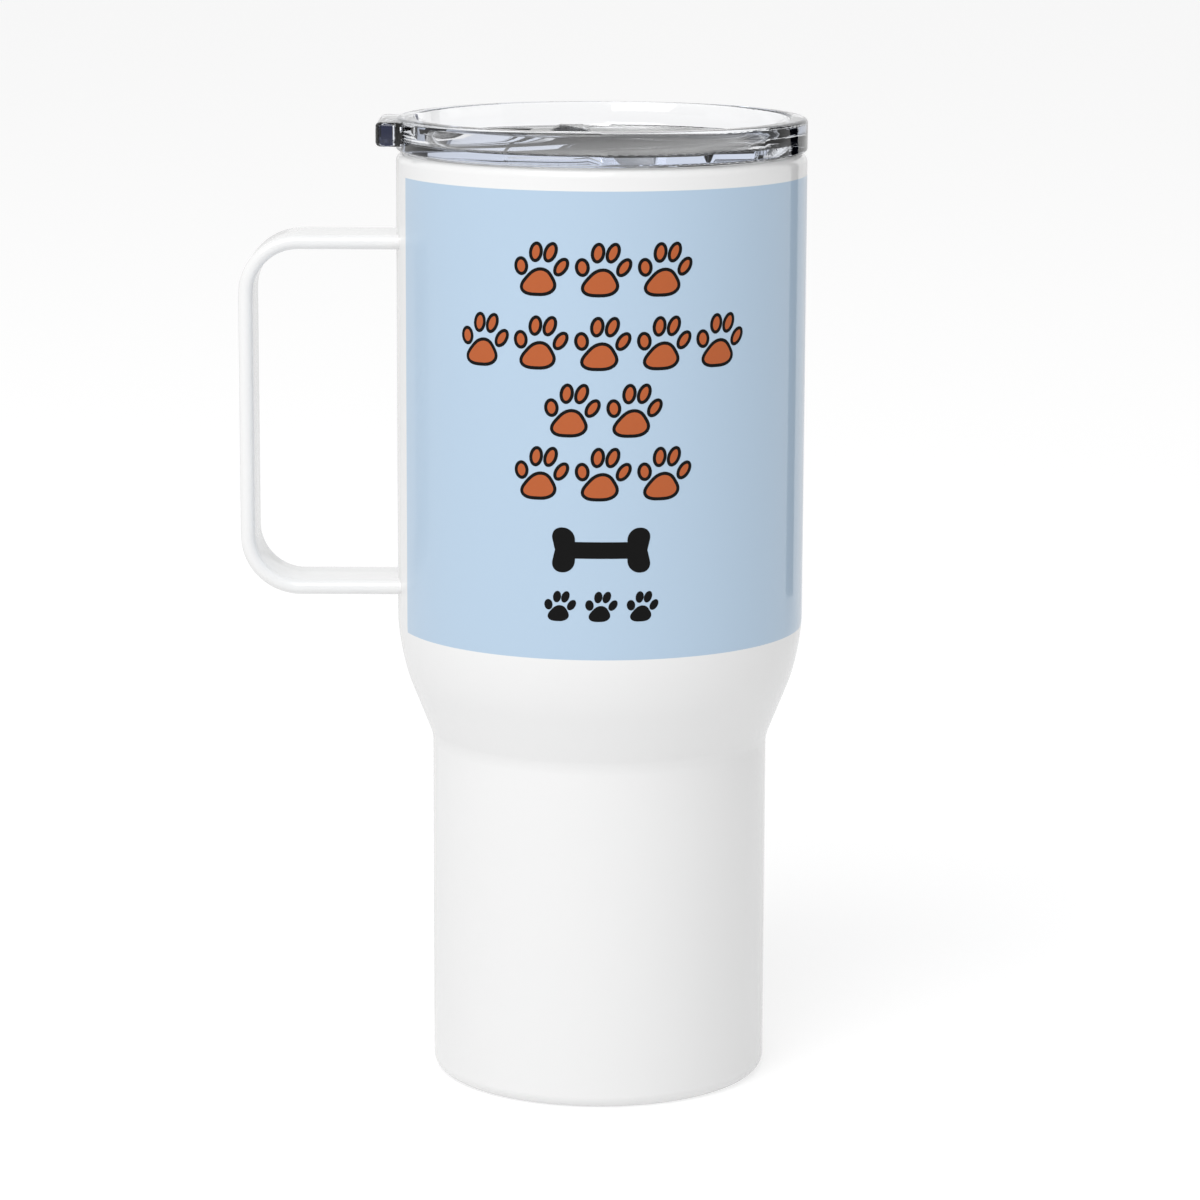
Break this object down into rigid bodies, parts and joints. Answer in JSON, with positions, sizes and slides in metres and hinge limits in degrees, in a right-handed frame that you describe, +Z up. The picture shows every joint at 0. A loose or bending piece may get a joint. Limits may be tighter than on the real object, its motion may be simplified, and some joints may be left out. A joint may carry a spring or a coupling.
{
  "type": "insulated travel mug",
  "caption": "Double-walled steel travel mug with a band handle, a narrow cup-holder base and a clear push-in lid with a slide closure.",
  "frame": {"origin": "centre of the foot ring, on the surface that the mug stands on", "axes": "+Z up along the mug's axis, -X towards the handle and the lid's lift tab, +X towards the drink opening"},
  "size_m": [0.1181, 0.0856, 0.2035],
  "materials": {
    "white_coat": "gloss",
    "bare_steel": "satin",
    "foil": "bright",
    "solder_glass": "gloss",
    "getter_alloy": "matte",
    "clear_plastic": "clear gloss",
    "silicone": "matte, translucent"
  },
  "bodies": {
    "mug": {"outer_shell": "white_coat", "inner_liner": "bare_steel", "liner_floor": "bare_steel", "radiation_foil": "foil", "jacket_bottom": "bare_steel", "seal_bead": "solder_glass", "getter": "getter_alloy", "base_plate": "bare_steel", "handle": "white_coat"},
    "lid": {"lid": "clear_plastic", "lid_gasket": "silicone"},
    "slider": {"slider": "clear_plastic", "slider_seal": "silicone", "slider_clip": "clear_plastic"}
  },
  "joints": [
    {"name": "lid_lift", "type": "slide", "parent": "mug", "child": "lid", "axis": [0, 0, 1], "range_m": [0, 0.04]},
    {"name": "slider_slide", "type": "slide", "parent": "lid", "child": "slider", "axis": [-1, 0, 0], "range_m": [0, 0.013]}
  ]
}
